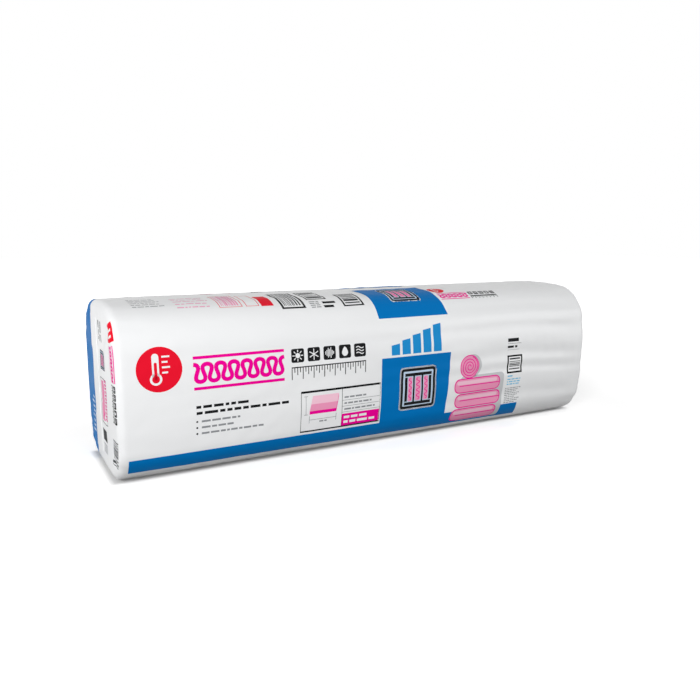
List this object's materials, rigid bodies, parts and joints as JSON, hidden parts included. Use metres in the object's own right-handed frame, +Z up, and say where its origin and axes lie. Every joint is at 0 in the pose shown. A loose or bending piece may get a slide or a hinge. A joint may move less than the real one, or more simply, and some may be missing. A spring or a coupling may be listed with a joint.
{
  "type": "bag of faced fiberglass batts",
  "caption": "Long compression-packed plastic film bag of folded fiberglass insulation batts with kraft facing, lying on its side.",
  "frame": {"origin": "on the floor, under the middle of the bag", "axes": "+X along the bag, towards its heat-sealed end; -Y is out of the long printed front panel; +Z is up"},
  "size_m": [1.215, 0.34, 0.346],
  "materials": {
    "polyethylene_film": "satin",
    "kraft_facing": "matt, asphalt coated on the hidden side",
    "glass_wool": "fibrous"
  },
  "bodies": {
    "root": {"film_bag": "polyethylene_film", "kraft_facing_1": "kraft_facing", "kraft_facing_2": "kraft_facing", "kraft_facing_3": "kraft_facing", "kraft_facing_4": "kraft_facing", "kraft_facing_5": "kraft_facing", "kraft_facing_6": "kraft_facing", "kraft_facing_7": "kraft_facing", "glass_wool_1": "glass_wool", "glass_wool_2": "glass_wool", "glass_wool_3": "glass_wool", "glass_wool_4": "glass_wool", "glass_wool_5": "glass_wool", "glass_wool_6": "glass_wool", "glass_wool_7": "glass_wool"}
  },
  "joints": []
}
